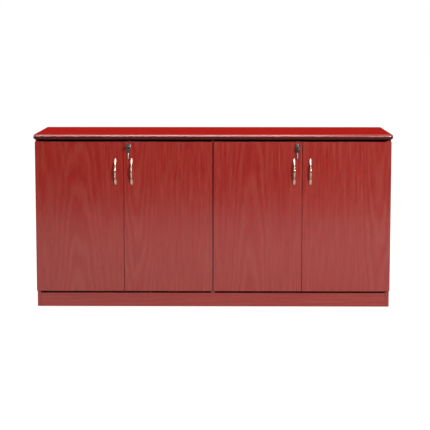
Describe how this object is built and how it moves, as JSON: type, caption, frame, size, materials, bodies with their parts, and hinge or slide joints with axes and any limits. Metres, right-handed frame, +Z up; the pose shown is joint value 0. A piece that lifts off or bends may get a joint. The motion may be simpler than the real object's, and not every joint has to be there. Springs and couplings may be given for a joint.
{
  "type": "office credenza",
  "caption": "Low mahogany-veneered office credenza with hinged pairs of doors, bow pulls, key locks, loose shelves, a round-nosed top and a set-back plinth.",
  "frame": {"origin": "on the floor, under the centre partition, midway along the width and the depth of the top", "axes": "+X to the right along the width, +Z up, doors facing -Y"},
  "size_m": [1.6, 0.4223, 0.785],
  "materials": {
    "mahogany_veneer": "satin lacquer over red mahogany veneer",
    "mahogany_top": "polished lacquer over red mahogany veneer",
    "hardboard_back": "matt stained hardboard",
    "champagne_metal": "polished champagne plating",
    "nickel_plate": "bright nickel plate",
    "zinc_plate": "dull zinc plate",
    "key_steel": "polished steel",
    "black_plastic": "satin moulded plastic"
  },
  "bodies": {
    "carcass": {"top_panel": "mahogany_top", "left_end_panel": "mahogany_veneer", "right_end_panel": "mahogany_veneer", "centre_partition": "mahogany_veneer", "front_plinth": "mahogany_veneer", "rear_plinth": "mahogany_veneer", "left_bottom_panel": "mahogany_veneer", "right_bottom_panel": "mahogany_veneer", "left_back_panel": "hardboard_back", "right_back_panel": "hardboard_back", "left_shelf": "mahogany_veneer", "right_shelf": "mahogany_veneer", "left_shelf_front_outer_pin": "nickel_plate", "left_shelf_front_inner_pin": "nickel_plate", "left_shelf_rear_outer_pin": "nickel_plate", "left_shelf_rear_inner_pin": "nickel_plate", "right_shelf_front_outer_pin": "nickel_plate", "right_shelf_front_inner_pin": "nickel_plate", "right_shelf_rear_outer_pin": "nickel_plate", "right_shelf_rear_inner_pin": "nickel_plate", "left_strike_plate": "zinc_plate", "right_strike_plate": "zinc_plate", "left_outer_upper_hinge_arm": "nickel_plate", "left_outer_lower_hinge_arm": "nickel_plate", "left_inner_upper_hinge_arm": "nickel_plate", "left_inner_lower_hinge_arm": "nickel_plate", "right_inner_upper_hinge_arm": "nickel_plate", "right_inner_lower_hinge_arm": "nickel_plate", "right_outer_upper_hinge_arm": "nickel_plate", "right_outer_lower_hinge_arm": "nickel_plate"},
    "left_outer_leaf": {"left_outer_door": "mahogany_veneer", "left_outer_upper_hinge_cup": "nickel_plate", "left_outer_lower_hinge_cup": "nickel_plate", "left_outer_pull": "champagne_metal"},
    "left_inner_leaf": {"left_inner_door": "mahogany_veneer", "left_inner_upper_hinge_cup": "nickel_plate", "left_inner_lower_hinge_cup": "nickel_plate", "left_inner_pull": "champagne_metal", "left_lock_barrel": "nickel_plate", "left_lock_case": "zinc_plate"},
    "right_inner_leaf": {"right_inner_door": "mahogany_veneer", "right_inner_upper_hinge_cup": "nickel_plate", "right_inner_lower_hinge_cup": "nickel_plate", "right_inner_pull": "champagne_metal", "right_lock_barrel": "nickel_plate", "right_lock_case": "zinc_plate"},
    "right_outer_leaf": {"right_outer_door": "mahogany_veneer", "right_outer_upper_hinge_cup": "nickel_plate", "right_outer_lower_hinge_cup": "nickel_plate", "right_outer_pull": "champagne_metal"},
    "left_key": {"left_lock_plug": "nickel_plate", "left_lock_key": "black_plastic"},
    "right_key": {"right_lock_plug": "nickel_plate", "right_lock_key": "black_plastic"},
    "left_bolt": {"left_lock_bolt": "key_steel"},
    "right_bolt": {"right_lock_bolt": "key_steel"},
    "left_spare": {"left_key_ring": "key_steel", "left_spare_key": "black_plastic"},
    "right_spare": {"right_key_ring": "key_steel", "right_spare_key": "black_plastic"}
  },
  "joints": [
    {"name": "left_outer_door_hinge", "type": "hinge", "parent": "carcass", "child": "left_outer_leaf", "pos_m": [-0.7858, -0.178, 0.4125], "axis": [0, 0, -1], "range_deg": [0, 95]},
    {"name": "left_inner_door_hinge", "type": "hinge", "parent": "carcass", "child": "left_inner_leaf", "pos_m": [-0.0112, -0.178, 0.4125], "axis": [0, 0, 1], "range_deg": [0, 84]},
    {"name": "right_inner_door_hinge", "type": "hinge", "parent": "carcass", "child": "right_inner_leaf", "pos_m": [0.0112, -0.178, 0.4125], "axis": [0, 0, -1], "range_deg": [0, 84]},
    {"name": "right_outer_door_hinge", "type": "hinge", "parent": "carcass", "child": "right_outer_leaf", "pos_m": [0.7858, -0.178, 0.4125], "axis": [0, 0, 1], "range_deg": [0, 95]},
    {"name": "left_key_turn", "type": "hinge", "parent": "left_inner_leaf", "child": "left_key", "pos_m": [-0.3765, -0.185, 0.73], "axis": [0, 1, 0], "range_deg": [0, 180]},
    {"name": "right_key_turn", "type": "hinge", "parent": "right_inner_leaf", "child": "right_key", "pos_m": [0.3765, -0.185, 0.73], "axis": [0, -1, 0], "range_deg": [0, 180]},
    {"name": "left_bolt_slide", "type": "slide", "parent": "left_inner_leaf", "child": "left_bolt", "axis": [0, 0, 1], "range_m": [0, 0.009]},
    {"name": "right_bolt_slide", "type": "slide", "parent": "right_inner_leaf", "child": "right_bolt", "axis": [0, 0, 1], "range_m": [0, 0.009]},
    {"name": "left_spare_swing", "type": "hinge", "parent": "left_inner_leaf", "child": "left_spare", "pos_m": [-0.3765, -0.195, 0.73], "axis": [0, 1, 0], "range_deg": [-4, 15]},
    {"name": "right_spare_swing", "type": "hinge", "parent": "right_inner_leaf", "child": "right_spare", "pos_m": [0.3765, -0.195, 0.73], "axis": [0, -1, 0], "range_deg": [-4, 15]}
  ],
  "couplings": [
    {"joint": "left_key_turn", "follows": "left_bolt_slide", "rad_per_m": 349.06},
    {"joint": "right_key_turn", "follows": "right_bolt_slide", "rad_per_m": 349.06}
  ]
}
